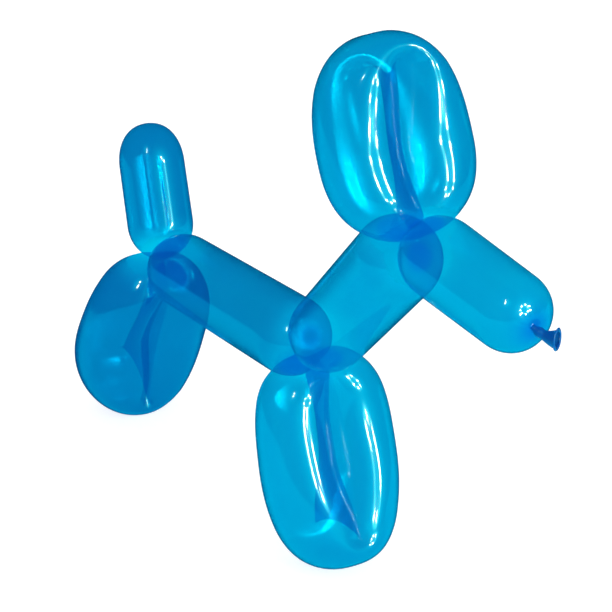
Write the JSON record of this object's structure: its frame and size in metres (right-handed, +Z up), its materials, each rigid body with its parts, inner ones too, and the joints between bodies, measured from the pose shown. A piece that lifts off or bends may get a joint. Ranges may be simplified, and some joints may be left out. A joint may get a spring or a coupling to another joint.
{
  "type": "balloon dog",
  "caption": "Standing dog twisted from a long, see-through blue latex balloon, with folded ears and legs, a straight tail and a knotted nose.",
  "frame": {"origin": "on the floor that the feet stand on, under the middle of the bounding box", "axes": "+X the way the dog faces, +Y to its left, +Z up"},
  "size_m": [0.5268, 0.1034, 0.3789],
  "materials": {
    "latex": "glossy, see-through"
  },
  "bodies": {
    "root": {"balloon": "latex"}
  },
  "joints": []
}
